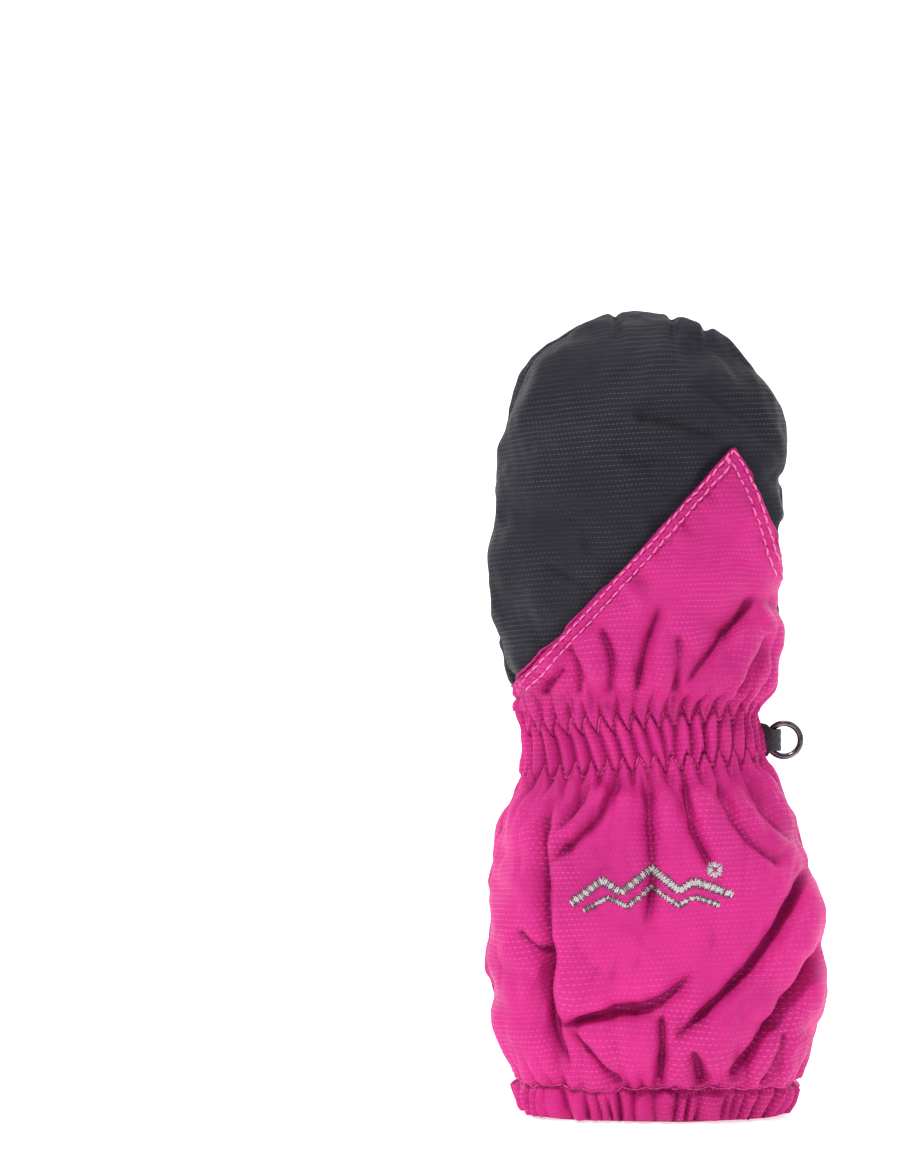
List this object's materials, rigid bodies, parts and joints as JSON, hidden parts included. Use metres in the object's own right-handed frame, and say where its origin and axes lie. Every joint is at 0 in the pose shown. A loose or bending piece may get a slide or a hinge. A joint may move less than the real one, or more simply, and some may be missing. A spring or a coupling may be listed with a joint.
{
  "type": "ski mitten",
  "caption": "Child's padded ski mitten for the right hand, with a long gathered gauntlet, smocked elastic wrist, separate thumb, and a ring on a webbing tab.",
  "frame": {"origin": "middle of the cuff's opening, in the plane of the hem's lower edge", "axes": "+Z from the cuff to the finger tips, +X towards the little finger and the ring, +Y out of the palm, so the back of the hand faces -Y"},
  "size_m": [0.1029, 0.0704, 0.25],
  "materials": {
    "shell_pink": "woven polyester with a fine dobby dash",
    "shell_charcoal": "woven polyester with a fine dobby dash",
    "palm_charcoal": "coated woven nylon with a fine dobby dash",
    "insulation": "matt polyester wadding",
    "lining": "brushed tricot",
    "elastic": "knitted elastic",
    "thread_pink": "polyester sewing thread",
    "thread_silver": "rayon satin-stitch thread",
    "webbing": "woven polyester webbing",
    "gunmetal": "black nickel plate",
    "label": "blank satin ribbon"
  },
  "bodies": {
    "cuff": {"gauntlet_back": "shell_pink", "gauntlet_palm": "shell_pink", "gauntlet_batting": "insulation", "gauntlet_lining": "lining", "wrist_smocking_back": "shell_pink", "wrist_smocking_palm": "shell_pink", "wrist_lining": "lining", "wrist_elastic_lower": "elastic", "smocking_thread_lower": "thread_pink", "hem_casing": "shell_pink", "hem_elastic": "elastic", "hem_stitching": "thread_pink", "motif": "thread_silver", "care_label": "label", "webbing_tab": "webbing"},
    "hand": {"back_panel_lower": "shell_pink", "back_panel_upper": "shell_charcoal", "palm_panel": "palm_charcoal", "wrist_band_palm": "shell_pink", "hand_insulation_back": "insulation", "hand_insulation_palm": "insulation", "hand_lining": "lining", "wrist_elastic_upper": "elastic", "smocking_thread_upper": "thread_pink", "seam_stitching_outer": "thread_pink", "seam_stitching_inner": "thread_pink", "palm_stitching": "thread_pink", "thumb_gusset": "palm_charcoal"},
    "thumb": {"thumb_shell_outer": "palm_charcoal", "thumb_shell_inner": "palm_charcoal", "thumb_insulation": "insulation", "thumb_lining": "lining"},
    "ring": {"ring": "gunmetal"}
  },
  "joints": [
    {"name": "wrist_bend", "type": "hinge", "parent": "cuff", "child": "hand", "pos_m": [-0.005, 0, 0.117], "axis": [0.9962, 0, 0.0872], "range_deg": [-25, 25], "stiffness_Nm_per_rad": 0.15, "deforming": ["wrist_smocking_back", "wrist_smocking_palm", "wrist_lining"]},
    {"name": "thumb_spread", "type": "hinge", "parent": "hand", "child": "thumb", "pos_m": [-0.026, 0.02, 0.15], "axis": [0, -1, 0], "range_deg": [0, 40], "stiffness_Nm_per_rad": 0.03},
    {"name": "ring_swing", "type": "hinge", "parent": "cuff", "child": "ring", "pos_m": [0.0357, 0, 0.1165], "axis": [0, 0, 1], "range_deg": [-75, 75]}
  ]
}
